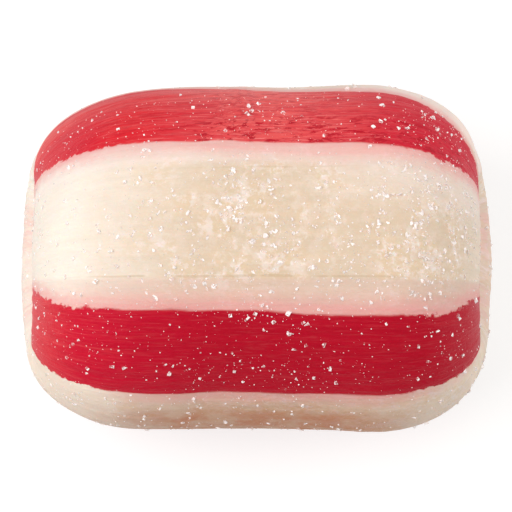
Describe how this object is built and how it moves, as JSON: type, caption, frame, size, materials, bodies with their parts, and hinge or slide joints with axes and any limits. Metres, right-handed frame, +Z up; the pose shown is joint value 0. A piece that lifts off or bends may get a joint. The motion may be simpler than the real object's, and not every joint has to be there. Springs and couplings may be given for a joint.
{
  "type": "soft peppermint candy pillow",
  "caption": "Pillow-shaped pulled-sugar sweet, round in section and pinched to a level crease at both ends, with red and cream stripes along it and a dusting of sugar",
  "frame": {"origin": "bottom centre of the sweet's box, on the flat spot that it rests on", "axes": "+X along the rope from the more rounded end to the thicker shoulder, +Y to the back, +Z up through the upper lobe"},
  "size_m": [0.0242, 0.0176, 0.0154],
  "materials": {
    "pulled_sugar": "satin pulled sugar in red and cream stripes, finely streaked lengthwise and frosted with sugar",
    "sugar_grain": "clear to white sugar crystals and dust stuck to the surface"
  },
  "bodies": {
    "root": {"candy": "pulled_sugar"}
  },
  "joints": []
}
